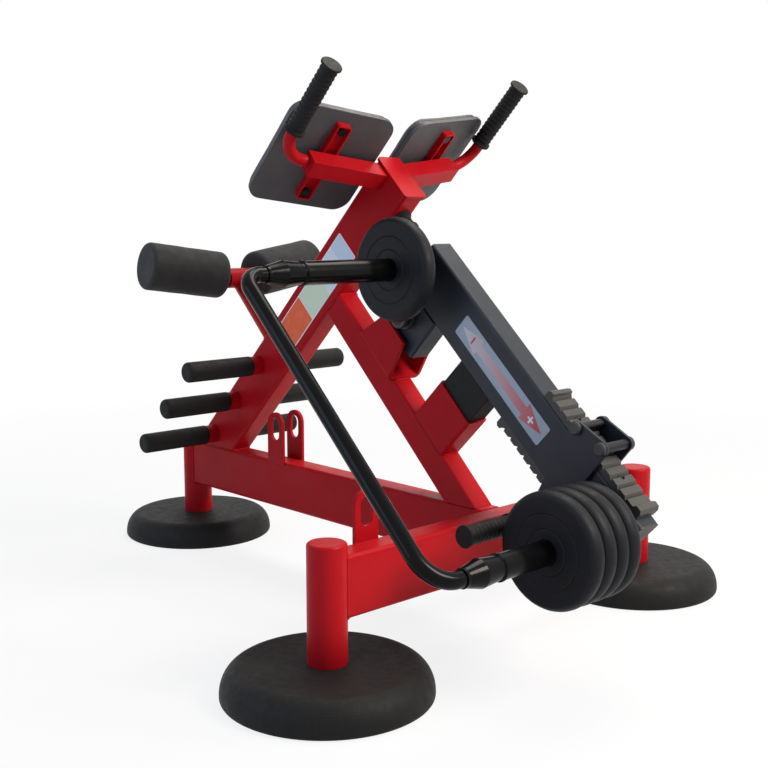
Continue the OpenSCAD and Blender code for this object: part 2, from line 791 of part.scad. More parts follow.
// Racks: a saw of slanted teeth with a raised stop at each end
module rack_outline(thick, stop_rise, first, count) {
    lead = 23;
    tail = 40;
    slope = 7;
    face = 2;
    bevel = 5;
    head = 13;
    head_foot = 15.5;
    heel = 16;
    heel_foot = 22;
    tooth = [for (i = [0:count - 1]) each [
        [first + i * notch_pitch - slope, thick], [first + i * notch_pitch, thick - notch_deep],
        [first + i * notch_pitch + face, thick]]];
    start = first - lead;
    end = first + (count - 1) * notch_pitch + tail;
    top = thick + stop_rise;
    polygon(concat([[start, 0], [start, top - bevel], [start + bevel, top], [start + head, top],
        [start + head_foot, thick]], tooth, [[end - heel_foot, thick], [end - heel, top + face],
        [end - bevel, top + face], [end, top - bevel], [end, 0]]));
}
rack_screw_d = 8;
rack_screw_head_d = 13;
rack_screw_head_t = 4;
rack_sink = 7;
rack_low_sink = 5;
rack_low_w = 0.6 * tube_w;
rack_stop_rise = 6;
rack_screw_back = 10;
rack_screw_x = [for (n = [2.5, 8.5]) notch_first + n * notch_pitch - rack_screw_back];
module rack_top() {
    color(dark) on_lever() translate([0, 0, lever_over]) difference() {
        rotate([90, 0, 0]) linear_extrude(tube_w, center = true)
            rack_outline(rack_t, rack_stop_rise, notch_first, notch_n);
        for (x = rack_screw_x) {
            translate([x, 0, rack_t - rack_sink]) cylinder(h = rack_t, d = rack_screw_head_d);
            translate([x, 0, -rack_t]) cylinder(h = 3 * rack_t, d = rack_screw_d);
        }
    }
}
module rack_bottom() {
    color(dark) on_lever() translate([0, 0, lever_under]) mirror([0, 0, 1]) difference() {
        rotate([90, 0, 0]) linear_extrude(rack_low_w, center = true)
            rack_outline(rack_low_t, rack_stop_rise, notch_first - 2 * notch_pitch, notch_n);
        for (x = rack_screw_x) {
            translate([x, 0, rack_low_t - rack_low_sink]) cylinder(h = rack_t, d = rack_screw_head_d);
            translate([x, 0, -rack_t]) cylinder(h = 3 * rack_t, d = rack_screw_d);
        }
    }
}
module rack_screws() {
    color(steel) on_lever() for (x = rack_screw_x) {
        translate([x, 0, lever_over]) cylinder(h = rack_t - rack_sink, d = rack_screw_d);
        translate([x, 0, lever_over + rack_t - rack_sink])
            cylinder(h = rack_screw_head_t, d = rack_screw_head_d);
        translate([x, 0, lever_under - rack_low_t + rack_low_sink])
            cylinder(h = rack_low_t - rack_low_sink, d = rack_screw_d);
        translate([x, 0, lever_under - rack_low_t + rack_low_sink - rack_screw_head_t])
            cylinder(h = rack_screw_head_t, d = rack_screw_head_d);
    }
}

// Guide bar for the weights: two sleeves, two collars and a thin bar bent between them
module weight_bar() {
    color(black) on_arms() {
        rod_y(0, 0, bar_bend_up - bar_reach, -collar_up_y - collar_len, bar_d);
        rod_y(arm_span, 0, bar_bend - bar_reach, -collar_y - collar_len, bar_d);
        translate([bar_bend_up, bar_bend_up - bar_reach, 0]) rotate([0, 0, 180]) rotate_extrude(angle = 90)
            translate([bar_bend_up, 0]) circle(bar_r);
        translate([arm_span - bar_bend, bar_bend - bar_reach, 0]) rotate([0, 0, 270])
            rotate_extrude(angle = 90) translate([bar_bend, 0]) circle(bar_r);
        translate([bar_bend_up, -bar_reach, 0]) rotate([0, 90, 0])
            cylinder(h = arm_span - bar_bend_up - bar_bend, r = bar_r);
    }
}
// The two arms: where each stands on the line of arms, and where its collar starts
arms = [[0, collar_up_y], [arm_span, collar_y]];
module weight_sleeves() {
    color(black) on_arms() for (arm = arms) {
        rod_y(arm[0], 0, -arm[1], -half_w, sleeve_d);
        rod_y(arm[0], 0, -stack_y + plate_gap, -stack_y + plate_gap + stop_ring_t, stop_ring_d);
    }
}
module weight_collars() {
    ring = 4;
    groove = 9;
    lip = 1.5;
    swell = 2.5;
    cuff = 6;
    color(black) on_arms() for (arm = arms) {
        translate([arm[0], -arm[1], 0]) rotate([90, 0, 0]) rotate_extrude() polygon([
            [0, 0], [sleeve_r + lip, 0], [sleeve_r + lip, ring], [sleeve_r - lip, ring + lip],
            [sleeve_r - lip, groove],
            [sleeve_r + swell, collar_len * 0.55], [bar_r + swell, collar_len - cuff],
            [bar_r + swell, collar_len], [0, collar_len]]);
    }
}
// A rubber weight plate with a round rim, two face rings and a bore on the sleeve
module weight_plate(x, z, inner_face) {
    rim = plate_t / 2;
    r = plate_d / 2;
    hub_r = 68.5;
    eye_r = 40.5;
    ring_w = 4;
    ring_deep = 1.5;
    round_w = 12;
    bulge = [for (i = [0:12]) [r - round_w + round_w * sin(i * 15), rim - rim * cos(i * 15)]];
    color(black) on_lever() translate([x, -inner_face, z]) rotate([90, 0, 0]) rotate_extrude()
        polygon(concat([[sleeve_r + plate_clear, 0]], bulge, [
        [hub_r + ring_w, plate_t], [hub_r + ring_w / 2, plate_t - ring_deep], [hub_r, plate_t],
        [eye_r + ring_w, plate_t], [eye_r + ring_w / 2, plate_t - ring_deep], [eye_r, plate_t],
        [sleeve_r + plate_clear, plate_t]]));
}

// Carriage: two side plates, two rods over the rack, a pin under it and a cross handle
upper_rods = [[carriage_at, rod_z], [carriage_at + rod_pitch, rod_z + rod_rise]];
handle_at = [handle_x, handle_z];
heel_at = [handle_x - rod_pitch / 2, handle_z + rod_pitch / 5];
module carriage_plates() {
    lug_r = 14.5;
    color(dark) on_lever() for (i = [-1, 1]) {
        translate([0, i * (side_in + side_t / 2), 0]) rotate([90, 0, 0])
            linear_extrude(side_t, center = true) difference() {
            belt([heel_at, handle_at, upper_rods[1], upper_rods[0]], lug_r);
            for (p = concat(upper_rods, [handle_at])) {
                translate(p) circle(d = rod_d);
            }
        }
    }
}
rod_proud = 4;
module carriage_rods() {
    color(steel) on_lever() for (p = upper_rods) {
        rod_y(p[0], p[1], -side_out - rod_proud, side_out + rod_proud, rod_d);
    }
}
module carriage_cap_nuts() {
    cap_d = 27;
    cap_w = 9;
    edge = 3;
    color(black) on_lever() for (p = upper_rods, i = [-1, 1]) {
        translate([p[0], i * side_out, p[1]]) rotate([-i * 90, 0, 0]) rotate_extrude() polygon([[rod_r, 0],
            [cap_d / 2, 0], [cap_d / 2, cap_w - edge], [cap_d / 2 - edge, cap_w], [0, cap_w],
            [0, rod_proud], [rod_r, rod_proud]]);
    }
}
module carriage_handle() {
    color(dark) on_lever() rod_y(handle_at[0], handle_at[1], -grip_near - carriage_grip_len + grip_flange_t,
        grip_far + carriage_grip_len - grip_flange_t, rod_d);
}
carriage_flange_d = carriage_grip_d + 6;
module carriage_grips() {
    color(black) on_lever() {
        translate([handle_at[0], -grip_near, handle_at[1]]) rotate([90, 0, 0])
            ribbed_grip(carriage_grip_len, carriage_grip_d, carriage_flange_d, rod_d);
        translate([handle_at[0], grip_far, handle_at[1]]) rotate([-90, 0, 0])
            ribbed_grip(carriage_grip_len, carriage_grip_d, carriage_flange_d, rod_d);
    }
}

long_beam();
cross_beam();
post(back_x, 0);  // post_back
post(front_x, -front_span / 2);  // post_right
post(front_x, front_span / 2);  // post_left
foot(back_x, 0);  // foot_back
foot(front_x, -front_span / 2);  // foot_right
foot(front_x, front_span / 2);  // foot_left
column();
column_cap();
strut();
pivot_bracket();
pivot_shaft();
pivot_nuts();
stop_bracket();
stop_block();
column_bumper();
band_eyelets();
peg_bars();
peg_sleeves(-1);  // peg_sleeves_right
peg_sleeves(1);  // peg_sleeves_left
roller_arm();
roller_hub();
roller_axles();
roller_core(-1);  // roller_core_right
roller_core(1);  // roller_core_left
roller_foam(-1);  // roller_foam_right
roller_foam(1);  // roller_foam_left
pad_cross_tube();
handle_tubes();
handle_grips();
pad_channels();
pad_bolts();
pad_board(-1);  // pad_board_right
pad_board(1);  // pad_board_left
pad(-1);  // pad_right
pad(1);  // pad_left
lever_tube();
lever_end_caps();
pivot_housing();
pivot_bushes();
rack_top();
rack_bottom();
rack_screws();
weight_bar();
weight_sleeves();
weight_collars();
weight_plate(arm_up, arm_z, parked_y);  // weight_plate_parked
weight_plate(arm_low, arm_low_z, stack_y);  // weight_plate_1
weight_plate(arm_low, arm_low_z, stack_y_2);  // weight_plate_2
weight_plate(arm_low, arm_low_z, stack_y_3);  // weight_plate_3
weight_plate(arm_low, arm_low_z, stack_y_4);  // weight_plate_4
carriage_plates();
carriage_rods();
carriage_cap_nuts();
carriage_handle();
carriage_grips();
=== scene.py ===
"""Looks for the outdoor hyperextension machine. Metres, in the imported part's frame."""

import json
import math
import random

import bmesh
import bpy
from mathutils import Matrix, Vector, noise


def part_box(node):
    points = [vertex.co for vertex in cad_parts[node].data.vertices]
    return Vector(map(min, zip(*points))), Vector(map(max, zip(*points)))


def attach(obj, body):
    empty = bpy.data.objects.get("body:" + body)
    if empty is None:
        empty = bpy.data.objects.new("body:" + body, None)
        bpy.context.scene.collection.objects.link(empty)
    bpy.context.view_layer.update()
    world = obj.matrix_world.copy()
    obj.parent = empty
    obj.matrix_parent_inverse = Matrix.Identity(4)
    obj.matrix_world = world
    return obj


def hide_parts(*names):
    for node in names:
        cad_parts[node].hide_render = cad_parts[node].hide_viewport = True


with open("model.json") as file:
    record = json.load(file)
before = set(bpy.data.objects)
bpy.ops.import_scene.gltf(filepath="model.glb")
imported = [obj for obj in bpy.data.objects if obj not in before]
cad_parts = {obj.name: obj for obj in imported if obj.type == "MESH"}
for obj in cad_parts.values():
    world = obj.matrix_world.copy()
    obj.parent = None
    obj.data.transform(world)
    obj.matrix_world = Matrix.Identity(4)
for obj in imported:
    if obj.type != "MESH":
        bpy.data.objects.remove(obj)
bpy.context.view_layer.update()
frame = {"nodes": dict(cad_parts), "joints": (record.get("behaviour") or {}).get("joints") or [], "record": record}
random.seed(7)

# Sizes that the looks share with the solids
COLUMN_ANGLE = math.radians(45)
COLUMN_HALF = 0.060
LEVER_ANGLE = math.radians(43.5)
PIVOT_UP_COLUMN = 0.8085
PIVOT_OFF_COLUMN = -0.252
PIVOT_BRACKET_LEN = 0.137
STOP_OFF_COLUMN = -0.473
STOP_BRACKET_LEN = 0.118
TUBE_HALF = 0.030
TUBE_R = 0.008
POST_R = 0.038
STRUT_AT = 0.640
STRUT_HALF = 0.033

PAD_AT = 0.952
PAD_Y = 0.158
PAD_H = 0.08625
PAD_TILT = math.radians(10)
PAD_LEN = 0.266
PAD_W = 0.262
PAD_R = 0.038
PAD_T = 0.016
PAD_CROWN = 0.006
BOARD_T = 0.009

ROLLER_AT = 0.387
ROLLER_OUT = 0.258
ROLLER_TILT = math.radians(11.4)
ROLLER_FROM = 0.053
ROLLER_LEN = 0.213
ROLLER_R = 0.060
CORE_R = 0.0166

# Places worked out from the frame
joints = {j["name"]: j for j in frame["joints"]}
pivot = Vector(joints["lever_hinge"]["pos_m"])
lever_frame = Matrix.Translation(pivot) @ Matrix.Rotation(LEVER_ANGLE, 4, "Y")
column_turn = Matrix.Rotation(-COLUMN_ANGLE, 4, "Y")
column_foot = pivot - column_turn @ Vector((PIVOT_UP_COLUMN, 0, PIVOT_OFF_COLUMN))
column_frame = Matrix.Translation(column_foot) @ column_turn
beam_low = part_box("long_beam")[0].z
beam_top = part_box("long_beam")[1].z
front_x = (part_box("cross_beam")[0].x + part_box("cross_beam")[1].x) / 2
SIDES = ((-1, "right"), (1, "left"))


# Node helpers
class Look:
    """A material under construction, with short calls for its nodes."""

    def __init__(self, name):
        self.material = bpy.data.materials.new(name)
        self.material.use_nodes = True
        self.tree = self.material.node_tree
        self.shader = self.tree.nodes["Principled BSDF"]
        self.place = self.node("ShaderNodeTexCoord").outputs["Object"]

    def node(self, kind, **settings):
        made = self.tree.nodes.new(kind)
        for key, value in settings.items():
            setattr(made, key, value)
        return made

    def link(self, source, target):
        self.tree.links.new(source, target)

    def feed(self, value, socket):
        """Links a socket, or sets a plain value."""
        if isinstance(value, bpy.types.NodeSocket):
            self.link(value, socket)
        else:
            socket.default_value = value

    def noise(self, scale, detail=2.0, roughness=0.5, place=None):
        made = self.node("ShaderNodeTexNoise")
        made.inputs["Scale"].default_value = scale
        made.inputs["Detail"].default_value = detail
        made.inputs["Roughness"].default_value = roughness
        self.link(place or self.place, made.inputs["Vector"])
        return made.outputs["Fac"]

    def cells(self, scale):
        made = self.node("ShaderNodeTexVoronoi")
        made.inputs["Scale"].default_value = scale
        self.link(self.place, made.inputs["Vector"])
        return made.outputs["Distance"]

    def math(self, operation, a, b):
        made = self.node("ShaderNodeMath", operation=operation)
        self.feed(a, made.inputs[0])
        self.feed(b, made.inputs[1])
        return made.outputs[0]

    def fit(self, value, low, high, to_low=0.0, to_high=1.0):
        """A value from one range brought to another, and held inside it."""
        made = self.node("ShaderNodeMapRange", clamp=True)
        self.feed(value, made.inputs["Value"])
        made.inputs["From Min"].default_value = low
        made.inputs["From Max"].default_value = high
        made.inputs["To Min"].default_value = to_low
        made.inputs["To Max"].default_value = to_high
        return made.outputs["Result"]

    def mix(self, amount, a, b):
        made = self.node("ShaderNodeMix", data_type="RGBA")
        self.feed(amount, made.inputs["Factor"])
        self.feed(a, made.inputs["A"])
        self.feed(b, made.inputs["B"])
        return made.outputs["Result"]

    def drift(self, colour, patches, darker, lighter, high=0.65):
        """The colour in patches between a darker and a lighter shade."""
        return self.mix(self.fit(patches, 0.35, high), shade(colour, darker), shade(colour, lighter))

    def uneven(self, patches, smoothest, roughest):
        """Roughness in patches between two values."""
        return self.fit(patches, 0.3, 0.7, smoothest, roughest)

    def axis(self, name, vector):
        made = self.node("ShaderNodeSeparateXYZ")
        self.link(vector, made.inputs[0])
        return made.outputs[name]

    def dusted(self, colour_now, dust_colour, amount, steepest, patches):
        """Dust in patches on the faces that look up."""
        upward = self.axis("Z", self.node("ShaderNodeNewGeometry").outputs["Normal"])
        settled = self.math("MULTIPLY", self.fit(upward, steepest, 1.0), patches)
        return self.mix(self.math("MULTIPLY", settled, amount), colour_now, dust_colour)

    def edge(self, radius):
        """(rounded normal, amount of edge) from a bevel that only the shader sees."""
        bevel = self.node("ShaderNodeBevel", samples=4)
        bevel.inputs["Radius"].default_value = radius
        flat = self.node("ShaderNodeNewGeometry").outputs["Normal"]
        dot = self.node("ShaderNodeVectorMath", operation="DOT_PRODUCT")
        self.link(bevel.outputs[0], dot.inputs[0])
        self.link(flat, dot.inputs[1])
        return bevel.outputs[0], self.fit(dot.outputs["Value"], 1.0, 0.86)

    def bump(self, height, distance, strength, normal=None):
        made = self.node("ShaderNodeBump")
        made.inputs["Distance"].default_value = distance
        made.inputs["Strength"].default_value = strength
        self.link(height, made.inputs["Height"])
        if normal is not None:
            self.link(normal, made.inputs["Normal"])
        return made.outputs["Normal"]

    def finish(self, colour, roughness, normal=None):
        self.feed(colour, self.shader.inputs["Base Color"])
        self.feed(roughness, self.shader.inputs["Roughness"])
        if normal is not None:
            self.link(normal, self.shader.inputs["Normal"])
        return self.material


def shade(colour, factor):
    return (colour[0] * factor, colour[1] * factor, colour[2] * factor, 1.0)


# Materials
LIGHT_DUST = (0.42, 0.38, 0.34, 1.0)
DARK_DUST = (0.20, 0.18, 0.16, 1.0)


def powder_coat(name, colour, roughness, dust, wear, shine, peel_depth=0.00009, round_edges=True):
    """Sprayed paint: orange peel, faint dust on top faces, thin rubbed edges."""
    look = Look(name)
    colour_now = look.drift(colour, look.noise(scale=2.6, detail=3.0), darker=0.90, lighter=1.07)
    speck = look.fit(look.noise(scale=160.0, detail=3.0, roughness=0.7), 0.66, 0.76, 0.0, 0.25)
    colour_now = look.mix(speck, colour_now, shade(colour, 0.72))
    rounded, edge = look.edge(radius=0.0016)
    rubbed = look.fit(look.noise(scale=38.0, detail=4.0, roughness=0.65), 0.5, 0.7, 0.0, wear)
    worn = tuple(0.75 * part + light for part, light in zip(colour, (0.10, 0.09, 0.09)))
    colour_now = look.mix(look.math("MULTIPLY", edge, rubbed), colour_now, (*worn, 1.0))
    patches = look.fit(look.noise(scale=9.0, detail=5.0, roughness=0.62), 0.45, 0.75)
    colour_now = look.dusted(colour_now, LIGHT_DUST, dust, 0.55, patches)
    patches = look.noise(scale=24.0, detail=4.0, roughness=0.6)
    rough_now = look.uneven(patches, roughness - 0.05, roughness + 0.08)
    peel = look.noise(scale=420.0, detail=2.0, roughness=0.45)
    normal = look.bump(peel, peel_depth, 0.45, rounded if round_edges else None)
    look.shader.inputs["Specular IOR Level"].default_value = shine
    return look.finish(colour_now, rough_now, normal)


def rubber(name, colour, roughness, grain, depth, dust):
    """Moulded rubber: fine grain, bloom in patches, dust on top faces, paler edges."""
    look = Look(name)
    patches = look.noise(scale=7.0, detail=5.0, roughness=0.6)
    colour_now = look.drift(colour, patches, darker=0.90, lighter=1.14, high=0.68)
    patches = look.fit(look.noise(scale=26.0, detail=5.0, roughness=0.7), 0.42, 0.72)
    colour_now = look.dusted(colour_now, DARK_DUST, dust, 0.3, patches)
    patches = look.noise(scale=60.0, detail=3.0, roughness=0.6)
    rough_now = look.uneven(patches, roughness - 0.07, roughness + 0.07)
    rounded, edge = look.edge(radius=0.0012)
    colour_now = look.mix(look.math("MULTIPLY", edge, 0.25), colour_now, shade(colour, 2.6))
    height = look.math("ADD", look.noise(grain, detail=3.0, roughness=0.6), look.cells(grain * 1.7))
    normal = look.bump(height, depth, 0.5, rounded)
    look.shader.inputs["Specular IOR Level"].default_value = 0.15
    return look.finish(colour_now, rough_now, normal)


def foam(name, colour):
    """Skinned foam: close pores with painted shade in them, and a soft sheen."""
    look = Look(name)
    patches = look.noise(scale=11.0, detail=4.0, roughness=0.6)
    colour_now = look.drift(colour, patches, darker=0.82, lighter=1.22)
    pores = look.fit(look.cells(1500.0), 0.0, 0.32)
    # Painted shade: the centre of each pore is darkened towards 0.4 of the colour
    painted_pore_shade = look.math("SUBTRACT", 0.35, look.math("MULTIPLY", pores, 0.35))
    colour_now = look.mix(painted_pore_shade, colour_now, shade(colour, 0.4))
    soft = look.noise(scale=120.0, detail=3.0, roughness=0.6)
    normal = look.bump(pores, 0.00022, 0.5)
    normal = look.bump(soft, 0.0005, 0.3, normal)
    look.shader.inputs["Sheen Weight"].default_value = 0.06
    look.shader.inputs["Specular IOR Level"].default_value = 0.28
    rough_now = look.uneven(look.noise(scale=45.0, detail=3.0), 0.68, 0.82)
    return look.finish(colour_now, rough_now, normal)


def grained_pad(name, colour):
    """Pad skin: a fine leather grain with painted shade in its hollows, and creases."""
    look = Look(name)
    patches = look.noise(scale=8.0, detail=5.0, roughness=0.6)
    colour_now = look.drift(colour, patches, darker=0.86, lighter=1.16, high=0.66)
    grain = look.cells(620.0)
    # Painted shade: the grain's hollows are darkened towards 0.6 of the colour
    colour_now = look.mix(look.fit(grain, 0.0, 0.55, 0.35, 0.0), colour_now, shade(colour, 0.6))
    crease = look.noise(scale=90.0, detail=5.0, roughness=0.7)
    normal = look.bump(grain, 0.00025, 0.45)
    normal = look.bump(crease, 0.0005, 0.25, normal)
    rough_now = look.uneven(look.noise(scale=30.0, detail=4.0, roughness=0.6), 0.48, 0.64)
    return look.finish(colour_now, rough_now, normal)


def plastic(name, colour, roughness):
    """Moulded plastic: a very fine grain and paler edges."""
    look = Look(name)
    colour_now = look.drift(colour, look.noise(scale=30.0, detail=3.0), darker=0.85, lighter=1.2)
    rounded, edge = look.edge(radius=0.0008)
    colour_now = look.mix(look.math("MULTIPLY", edge, 0.3), colour_now, shade(colour, 2.4))
    normal = look.bump(look.noise(scale=900.0), 0.00008, 0.5, rounded)
    rough_now = look.uneven(look.noise(scale=70.0, detail=3.0), roughness - 0.06, roughness + 0.08)
    return look.finish(colour_now, rough_now, normal)


def steel(name, colour, roughness):
    """Bare or plated metal with brush lines and dark spots."""
    look = Look(name)
    stretch = look.node("ShaderNodeMapping")
    stretch.inputs["Scale"].default_value = (1.0, 0.04, 1.0)
    look.link(look.place, stretch.inputs["Vector"])
    lines = look.noise(scale=400.0, detail=4.0, roughness=0.7, place=stretch.outputs[0])
    spots = look.fit(look.noise(scale=55.0, detail=5.0, roughness=0.7), 0.55, 0.78, 0.0, 0.45)
    colour_now = look.mix(spots, (*colour, 1.0), shade(colour, 0.45))
    rounded, _ = look.edge(radius=0.0007)
    rough_now = look.uneven(lines, roughness - 0.08, roughness + 0.12)
    look.shader.inputs["Metallic"].default_value = 1.0
    normal = look.bump(lines, 0.00006, 0.5, rounded)
    return look.finish(colour_now, rough_now, normal)


def label(name, colour, colour_end=None, start=0.0, end=1.0):
    """Printed film on metal. A second colour fades in along X, from start to end."""
    look = Look(name)
    base = (*colour, 1.0)
    if colour_end is not None:
        along = look.fit(look.axis("X", look.place), start, end)
        base = look.mix(along, (*colour, 1.0), (*colour_end, 1.0))
    faded = look.mix(0.35, base, (0.60, 0.60, 0.60, 1.0))
    patches = look.fit(look.noise(scale=40.0, detail=4.0, roughness=0.6), 0.5, 0.75, 0.0, 0.3)
    colour_now = look.mix(patches, base, faded)
    normal = look.bump(look.noise(scale=260.0, detail=3.0), 0.00006, 0.5)
    rough_now = look.uneven(look.noise(scale=70.0, detail=3.0), 0.34, 0.48)
    return look.finish(colour_now, rough_now, normal)


RED = (0.42, 0.005, 0.010)
ANTHRACITE = (0.016, 0.020, 0.028)
GLOSS_BLACK = (0.003, 0.003, 0.0035)
LOOKS = {
    "red_paint": powder_coat("red_paint", RED, 0.38, dust=0.03, wear=0.35, shine=0.09),
    "dark_paint": powder_coat("dark_paint", ANTHRACITE, 0.44, dust=0.05, wear=0.25, shine=0.28),
    "black_gloss_paint": powder_coat("black_gloss_paint", GLOSS_BLACK, 0.18, dust=0.0, wear=0.08, shine=0.10,
                                     peel_depth=0.00001, round_edges=False),
    "black_rubber": rubber("black_rubber", (0.0095, 0.0092, 0.0092), 0.60, grain=300.0, depth=0.00025,
                           dust=0.025),
    "weight_rubber": rubber("weight_rubber", (0.0068, 0.0074, 0.0098), 0.50, grain=520.0, depth=0.00014,
                            dust=0.02),
    "roller_foam": foam("roller_foam", (0.019, 0.019, 0.019)),
    "pad_rubber": grained_pad("pad_rubber", (0.056, 0.056, 0.060)),
    "black_plastic": plastic("black_plastic", (0.016, 0.016, 0.018), 0.50),
    "plated_steel": steel("plated_steel", (0.50, 0.50, 0.49), 0.34),
    "black_steel": steel("black_steel", (0.030, 0.030, 0.032), 0.42),
}

# The racks are handled and rubbed, so they get more dust and edge wear; their paler, warmer base colour is painted
# warm light, a lit copy of the dark paint
RACK_LOOK = powder_coat("rack_paint", (0.053, 0.049, 0.046), 0.46, dust=0.08, wear=0.45, shine=0.30)


def look_of(part):
    """The look of a sub-part of the record."""
    if part["node"].startswith("rack_") and part["material_slot"] == "dark_paint":
        return RACK_LOOK
    return LOOKS[part["material_slot"]]


for part in frame["record"]["subparts"]:
    if part["node"] in frame["nodes"]:
        shown = frame["nodes"][part["node"]]
        shown.data.materials.clear()
        shown.data.materials.append(look_of(part))


# Mesh helpers
def add_object(name, data):
    made = bpy.data.objects.new(name, data)
    bpy.context.scene.collection.objects.link(made)
    return made


def dress(made, look, body, smooth=True):
    """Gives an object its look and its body."""
    made.data.materials.clear()
    made.data.materials.append(look)
    for face in made.data.polygons:
        face.use_smooth = smooth
    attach(made, body)


def rounded_loop(width, height, radius, steps):
    """Points round a rectangle with round corners, anticlockwise."""
    points = []
    for quarter in range(4):
        sx = 1 if quarter in (0, 3) else -1
        sy = 1 if quarter < 2 else -1
        for i in range(steps + 1):
            angle = math.radians(quarter * 90 + i * 90 / steps)
            x = sx * (width / 2 - radius) + radius * math.cos(angle)
            y = sy * (height / 2 - radius) + radius * math.sin(angle)
            points.append(Vector((x, y)))
    return points


def rectangle(a_low, a_high, b_low, b_high, radius):
    """Points round a rectangle with round corners, from its four limits."""
    middle = Vector(((a_low + a_high) / 2, (b_low + b_high) / 2))
    return [p + middle for p in rounded_loop(a_high - a_low, b_high - b_low, radius, 3)]


def loft(rings, closed_ends=True):
    """A mesh through rings of equal counts of points."""
    mesh = bpy.data.meshes.new("loft")
    bm = bmesh.new()
    rows = [[bm.verts.new(p) for p in ring] for ring in rings]
    count = len(rings[0])
    for low, high in zip(rows, rows[1:]):
        for i in range(count):
            j = (i + 1) % count
            bm.faces.new((low[i], low[j], high[j], high[i]))
    if closed_ends:
        bm.faces.new(list(reversed(rows[0])))
        bm.faces.new(rows[-1])
    bmesh.ops.recalc_face_normals(bm, faces=bm.faces)
    bm.to_mesh(mesh)
    bm.free()
    return mesh


def apply_modifiers(thing):
    depsgraph = bpy.context.evaluated_depsgraph_get()
    depsgraph.update()
    mesh = bpy.data.meshes.new_from_object(thing.evaluated_get(depsgraph))
    thing.modifiers.clear()
    thing.data = mesh


# Pads: a soft skin over foam, on the board
PAD_SWELL = 0.0015
PAD_VOXEL = 0.005
BOARD_GAP = 0.0004
CLOTH_STEPS = 20
PAD_EDGE = ((0.0045, 0.0006), (0.0008, 0.18 * PAD_T), (0.0, 0.5 * PAD_T), (0.0010, 0.80 * PAD_T),
            (0.0040, 0.97 * PAD_T))
CROWN_SHARES = ((0.012, 0.34), (0.032, 0.62), (0.065, 0.80), (0.100, 0.86))


def pad_frame(side):
    place = Matrix.Translation((PAD_AT, side * PAD_Y, PAD_H))
    return column_frame @ place @ Matrix.Rotation(side * PAD_TILT, 4, "X")


def pad_rings():
    """Rings by inset and height over the board: drawn-in sides, then the crown."""
    half = min(PAD_LEN, PAD_W) / 2
    loop = rounded_loop(PAD_LEN - 2 * PAD_SWELL, PAD_W - 2 * PAD_SWELL, PAD_R - PAD_SWELL, 8)
    crown = [(inset, PAD_T + share * PAD_CROWN) for inset, share in CROWN_SHARES]
    rings = []
    for inset, height in (*PAD_EDGE, *crown):
        k = 1 - inset / half
        rings.append([Vector((p.x * k, p.y * k, BOARD_T + height)) for p in loop])
    return rings


def swell(made):
    """A short cloth run under pressure, with each point's move capped."""
    rest = [v.co.copy() for v in made.data.vertices]
    cloth = made.modifiers.new("cloth", "CLOTH")
    cloth.settings.use_pressure = True
    cloth.settings.uniform_pressure_force = 4.0
    cloth.settings.effector_weights.gravity = 0.0
    cloth.settings.quality = 5
    for step in range(1, CLOTH_STEPS + 1):
        bpy.context.scene.frame_set(step)
    apply_modifiers(made)
    bpy.context.scene.frame_set(1)
    furthest = 2 * PAD_SWELL
    for vertex, start in zip(made.data.vertices, rest):
        move = vertex.co - start
        if move.length > furthest:
            vertex.co = start + move.normalized() * furthest
        vertex.co.z = max(vertex.co.z, BOARD_T + BOARD_GAP)


def soft_pad(name, side, body):
    """The pad's closed form, swelled by the cloth run and then smoothed."""
    made = add_object(name, loft(pad_rings()))
    remesh = made.modifiers.new("remesh", "REMESH")
    remesh.mode = "VOXEL"
    remesh.voxel_size = PAD_VOXEL
    apply_modifiers(made)
    swell(made)
    smooth = made.modifiers.new("smooth", "SMOOTH")
    smooth.factor = 0.5
    smooth.iterations = 4
    finer = made.modifiers.new("finer", "SUBSURF")
    finer.levels = 1
    finer.render_levels = 1
    apply_modifiers(made)
    made.data.transform(pad_frame(side))
    dress(made, LOOKS["pad_rubber"], body)
    return made


for side, word in SIDES:
    cushion = soft_pad("soft_pad_" + word, side, "frame")
    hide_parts("pad_" + word)


# Foam rollers
INNER_EDGE = 0.015
OUTER_EDGE = 0.010
END_GAP = 0.014
END_SINK = 0.0004
AXIS_R = 0.0006
END_RADII = (0.042, 0.030, 0.018, 0.008, AXIS_R)
EDGE_STEPS = 6
SIDE_STEPS = 18
ROLLER_TURNS = 72
DENT = 0.0006
DENT_SCALE = 22.0
DENT_SHIFT = 3.0


def axle_frame(side):
    place = Matrix.Translation((ROLLER_AT, 0, ROLLER_OUT))
    return column_frame @ place @ Matrix.Rotation(-side * (math.pi / 2 - ROLLER_TILT), 4, "X")


def roller_profile():
    """(radius, height) from the bottom of the core's bore, round the foam, to its outer end."""
    bore_end = ROLLER_LEN - END_GAP
    profile = [(AXIS_R, bore_end), (CORE_R, bore_end), (CORE_R, 0.0), (ROLLER_R - INNER_EDGE, 0.0)]
    for i in range(1, EDGE_STEPS + 1):
        a = math.radians(i * 90 / EDGE_STEPS)
        profile.append((ROLLER_R - INNER_EDGE + INNER_EDGE * math.sin(a),
                        INNER_EDGE - INNER_EDGE * math.cos(a)))
    straight = ROLLER_LEN - INNER_EDGE - OUTER_EDGE
    for i in range(1, SIDE_STEPS):
        profile.append((ROLLER_R, INNER_EDGE + straight * i / SIDE_STEPS))
    for i in range(EDGE_STEPS + 1):
        a = math.radians(i * 90 / EDGE_STEPS)
        profile.append((ROLLER_R - OUTER_EDGE + OUTER_EDGE * math.cos(a),
                        ROLLER_LEN - OUTER_EDGE + OUTER_EDGE * math.sin(a)))
    for radius in END_RADII:
        profile.append((radius, ROLLER_LEN - END_SINK))
    return profile


